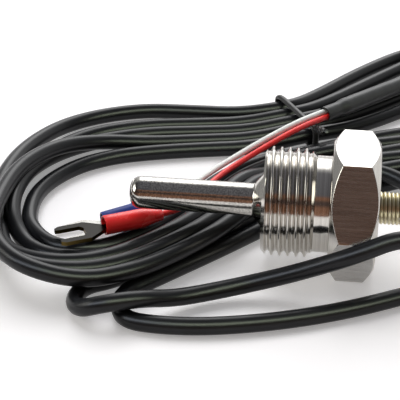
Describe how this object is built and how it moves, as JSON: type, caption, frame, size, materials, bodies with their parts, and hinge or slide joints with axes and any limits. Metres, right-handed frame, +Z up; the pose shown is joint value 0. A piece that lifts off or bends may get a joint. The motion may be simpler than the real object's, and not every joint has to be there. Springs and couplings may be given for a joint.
{
  "type": "screw-in temperature sensor",
  "caption": "Screw-in temperature sensor: hexagon, male thread and closed stem, spring strain relief, tied hank of black cable with fork terminals.",
  "frame": {"origin": "on the floor under the sensor's axis, midway between the tip and the end of the spring", "axes": "+X along the sensor's axis from the tip to the cable, +Y away from the camera, +Z up; the sensor lies on one flat of its hexagon"},
  "size_m": [0.126, 0.1285, 0.024],
  "materials": {
    "turned_steel": "turned and fine brushed",
    "drawn_steel": "polished",
    "spring_steel": "bright drawn wire",
    "cable_jacket": "semi-gloss extruded",
    "shrink_tube": "matt shrunk",
    "white_insulation": "satin extruded",
    "red_insulation": "satin extruded",
    "red_vinyl": "soft moulded",
    "blue_vinyl": "soft moulded",
    "tinned_brass": "stamped and tinned",
    "tie_plastic": "satin",
    "element_ceramic": "sintered",
    "element_wire": "drawn",
    "fibre_sleeving": "braided",
    "crimp_brass": "stamped",
    "splice_tube": "shrunk",
    "ferrule_steel": "turned",
    "heat_paste": "paste",
    "resin": "cast"
  },
  "bodies": {
    "root": {"process_fitting": "turned_steel", "probe_sheath": "drawn_steel", "strain_relief_spring": "spring_steel", "sensing_element": "element_ceramic", "element_wire_a": "element_wire", "element_wire_b": "element_wire", "wire_sleeve_a": "fibre_sleeving", "wire_sleeve_b": "fibre_sleeving", "splice_crimp_a": "crimp_brass", "splice_crimp_b": "crimp_brass", "splice_sleeve_a": "splice_tube", "splice_sleeve_b": "splice_tube", "inner_core_white": "white_insulation", "inner_core_red": "red_insulation", "thermal_paste": "heat_paste", "potting_resin": "resin", "cable_ferrule": "ferrule_steel", "cable_entry": "cable_jacket", "cable_lead": "cable_jacket", "cable_hank": "cable_jacket", "cable_tail": "cable_jacket", "heat_shrink_sleeve": "shrink_tube", "white_lead": "white_insulation", "red_lead": "red_insulation", "red_fork_sleeve": "red_vinyl", "red_fork": "tinned_brass", "blue_fork_sleeve": "blue_vinyl", "blue_fork": "tinned_brass", "cable_tie": "tie_plastic"}
  },
  "joints": []
}
